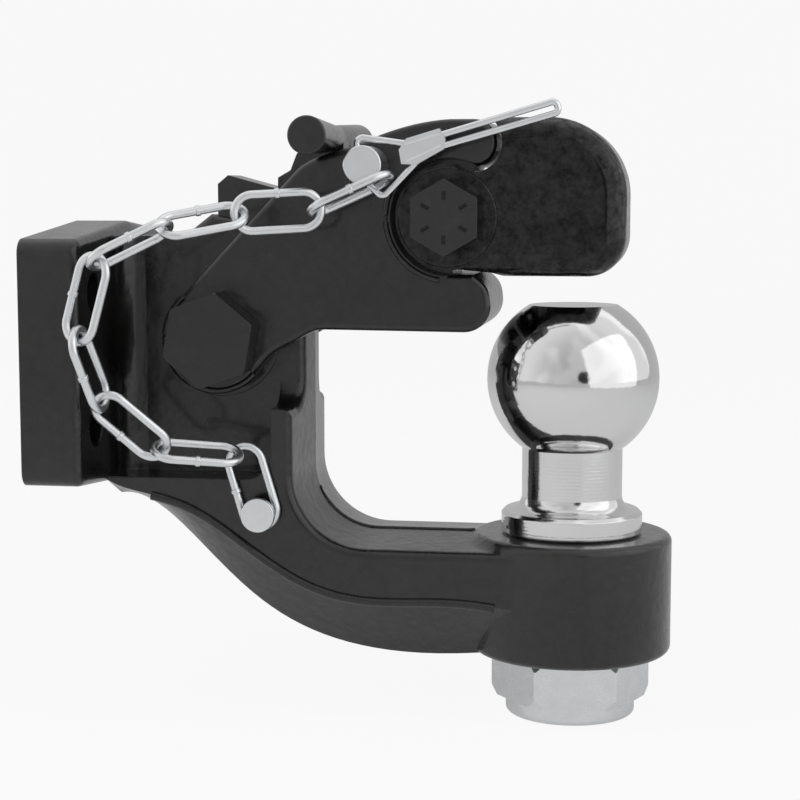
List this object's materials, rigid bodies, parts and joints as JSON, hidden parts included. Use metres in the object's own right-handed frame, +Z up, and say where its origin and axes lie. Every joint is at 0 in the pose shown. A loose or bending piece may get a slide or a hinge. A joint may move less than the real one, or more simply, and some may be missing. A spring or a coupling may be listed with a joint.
{
  "type": "tow hitch",
  "caption": "Combination pintle hook and ball tow hitch with a flange plate, hinged locking jaw, safety pin on a short chain and a chrome ball.",
  "frame": {"origin": "centre of the mounting plate's rear face", "axes": "+X from the mounting face to the trailer, +Y away from the chain side, +Z up"},
  "size_m": [0.2104, 0.1326, 0.2098],
  "materials": {
    "black_casting": "gloss black over a slightly rough casting",
    "black_hardware": "semi-gloss black",
    "ball_chrome": "polished plating",
    "zinc_plate": "bright zinc plating",
    "spring_steel": "drawn wire",
    "dark_nylon": "matt"
  },
  "bodies": {
    "frame": {"hitch_body": "black_casting", "pivot_bolt": "black_hardware", "pivot_washer": "black_hardware", "pivot_nut": "black_hardware", "tow_ball": "ball_chrome", "ball_nut": "zinc_plate", "ball_nut_insert": "dark_nylon", "chain_anchor": "zinc_plate"},
    "jaw": {"upper_jaw": "black_casting", "jaw_nose": "black_casting", "jaw_bolt": "black_hardware", "jaw_washer": "black_hardware", "jaw_nut": "black_hardware", "lock_spring": "spring_steel"},
    "lever": {"lock_lever": "black_casting"},
    "pin": {"safety_pin": "zinc_plate"},
    "bail": {"pin_bail": "zinc_plate", "bail_clip": "zinc_plate"},
    "chain_link_1": {"chain_link_1": "zinc_plate"},
    "chain_link_2": {"chain_link_2": "zinc_plate"},
    "chain_link_3": {"chain_link_3": "zinc_plate"},
    "chain_link_4": {"chain_link_4": "zinc_plate"},
    "chain_link_5": {"chain_link_5": "zinc_plate"},
    "chain_link_6": {"chain_link_6": "zinc_plate"},
    "chain_link_7": {"chain_link_7": "zinc_plate"},
    "chain_link_8": {"chain_link_8": "zinc_plate"},
    "chain_link_9": {"chain_link_9": "zinc_plate"}
  },
  "joints": [
    {"name": "jaw_pivot", "type": "hinge", "parent": "frame", "child": "jaw", "pos_m": [0.056, 0, 0.006], "axis": [0, -1, 0], "range_deg": [0, 48]},
    {"name": "lever_pivot", "type": "hinge", "parent": "jaw", "child": "lever", "pos_m": [0.1356, 0, 0.0473], "axis": [0, 1, 0], "range_deg": [0, 17.28], "deforming": ["lock_spring"]},
    {"name": "pin_slide", "type": "slide", "parent": "jaw", "child": "pin", "axis": [0, -1, 0], "range_m": [0, 0.056]},
    {"name": "bail_hinge", "type": "hinge", "parent": "pin", "child": "bail", "pos_m": [0.1094, -0.034, 0.0643], "axis": [0.313, 0, -0.9498], "range_deg": [0, 75]},
    {"name": "link_1_hinge", "type": "hinge", "parent": "pin", "child": "chain_link_1", "pos_m": [0.1166, -0.0348, 0.06], "axis": [-0.4188, 0, 0.9081], "range_deg": [0, 10]},
    {"name": "link_2_hinge", "type": "hinge", "parent": "chain_link_1", "child": "chain_link_2", "pos_m": [0.0947, -0.0402, 0.0499], "axis": [-0.0548, 0, 0.9985], "range_deg": [0, 15]},
    {"name": "link_3_hinge", "type": "hinge", "parent": "chain_link_2", "child": "chain_link_3", "pos_m": [0.071, -0.0473, 0.0486], "axis": [-0.1902, 0, 0.9818], "range_deg": [0, 15]},
    {"name": "link_4_hinge", "type": "hinge", "parent": "chain_link_3", "child": "chain_link_4", "pos_m": [0.0488, -0.0576, 0.0443], "axis": [-0.4665, 0, 0.8845], "range_deg": [0, 15]},
    {"name": "link_5_hinge", "type": "hinge", "parent": "chain_link_4", "child": "chain_link_5", "pos_m": [0.0287, -0.067, 0.0337], "axis": [-0.9647, 0, 0.2635], "range_deg": [0, 15]},
    {"name": "link_6_hinge", "type": "hinge", "parent": "chain_link_5", "child": "chain_link_6", "pos_m": [0.0222, -0.067, 0.0099], "axis": [-0.9792, 0, -0.2029], "range_deg": [0, 15]},
    {"name": "link_7_hinge", "type": "hinge", "parent": "chain_link_6", "child": "chain_link_7", "pos_m": [0.0268, -0.0571, -0.0123], "axis": [-0.6921, 0, -0.7218], "range_deg": [0, 15]},
    {"name": "link_8_hinge", "type": "hinge", "parent": "chain_link_7", "child": "chain_link_8", "pos_m": [0.0438, -0.0498, -0.0286], "axis": [-0.1029, 0, -0.9947], "range_deg": [0, 15]},
    {"name": "link_9_hinge", "type": "hinge", "parent": "frame", "child": "chain_link_9", "pos_m": [0.0735, -0.0326, -0.0519], "axis": [0, 1, 0], "range_deg": [0, 30]}
  ],
  "couplings": [
    {"joint": "lever_pivot", "follows": "jaw_pivot", "ratio": 0.36},
    {"joint": "link_1_hinge", "follows": "jaw_pivot", "ratio": 0.20833}
  ]
}
